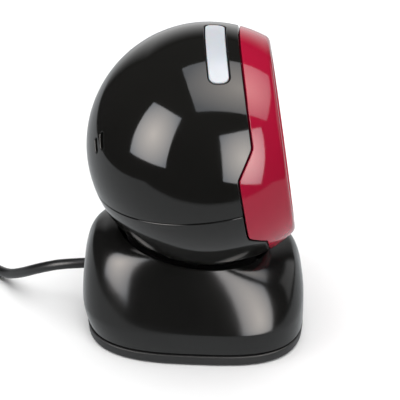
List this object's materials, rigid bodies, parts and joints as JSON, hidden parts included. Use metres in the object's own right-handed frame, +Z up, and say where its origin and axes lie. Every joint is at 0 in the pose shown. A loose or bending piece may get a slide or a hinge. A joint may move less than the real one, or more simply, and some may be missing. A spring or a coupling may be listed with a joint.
{
  "type": "presentation barcode scanner",
  "caption": "Desktop hands-free barcode scanner: a gloss black ball head with a crimson front bezel tilts in the cup of a weighted square base with a USB cord.",
  "frame": {"origin": "centre of the footprint of the scanner's own pieces, on the table", "axes": "+Z up; the head looks along -Y, so +Y is the side where the cord leaves; X runs along the tilt axle"},
  "size_m": [0.113, 0.2358, 0.15],
  "materials": {
    "shell_black": "high gloss black moulded ABS",
    "bezel_crimson": "high gloss crimson moulded ABS",
    "inner_black": "fine satin texture",
    "window_dark": "polished dark red tinted acrylic",
    "light_bar": "milky white light diffuser",
    "foam_black": "closed-cell foam",
    "foot_rubber": "soft moulded rubber",
    "chassis_alloy": "die cast, bead blasted",
    "zinc_steel": "zinc plated",
    "ballast_steel": "cut steel plate, black paint",
    "axle_steel": "ground steel",
    "washer_nylon": "nylon",
    "board_green": "solder mask over glass fibre",
    "chip_black": "moulded epoxy",
    "lamp_white": "clear epoxy over phosphor",
    "lens_glass": "coated optical glass",
    "brass": "turned brass",
    "connector_white": "nylon",
    "cable_black": "satin PVC jacket",
    "ribbon_orange": "polyimide film",
    "plug_nickel": "nickel plated steel",
    "tie_fabric": "hook and loop tape"
  },
  "bodies": {
    "base": {"tilt_post": "chassis_alloy", "tilt_axle": "axle_steel", "friction_washers": "washer_nylon", "spring_washer": "axle_steel", "axle_nut": "zinc_steel", "base_cover": "shell_black", "base_bottom_plate": "inner_black", "rubber_feet": "foot_rubber", "base_screws": "zinc_steel", "post_screws": "zinc_steel", "cup_liner": "inner_black", "ballast_plate": "ballast_steel", "interface_board": "board_green", "board_pillars": "brass", "cord_header": "connector_white", "interface_chip": "chip_black", "post_harness": "cable_black", "cord_inside": "cable_black", "cord_grommet": "foot_rubber", "cord_tube": "cable_black", "cord_coil": "cable_black", "cord_tail": "cable_black", "usb_plug_grip": "cable_black", "usb_plug_shell": "plug_nickel", "usb_plug_tongue": "connector_white", "cord_tie": "tie_fabric"},
    "head": {"rear_shell": "shell_black", "lower_shell": "shell_black", "front_bezel": "bezel_crimson", "scan_window": "window_dark", "window_gasket": "foam_black", "led_light_pipe": "light_bar", "window_baffle": "inner_black", "illumination_board": "board_green", "illumination_leds": "lamp_white", "scan_engine_housing": "inner_black", "engine_lens_barrel": "inner_black", "engine_lens": "lens_glass", "aimer_lens": "lens_glass", "head_chassis": "chassis_alloy", "bezel_screws": "zinc_steel", "lower_shell_screws": "zinc_steel", "rear_shell_screws": "zinc_steel", "main_board": "board_green", "board_chips": "chip_black", "board_standoffs": "brass", "beeper": "chip_black", "led_board": "board_green", "status_leds": "lamp_white", "flex_ribbon": "ribbon_orange"}
  },
  "joints": [
    {"name": "head_tilt", "type": "hinge", "parent": "base", "child": "head", "pos_m": [0, -0.0073, 0.0935], "axis": [-1, 0, 0], "range_deg": [-12, 20]}
  ]
}
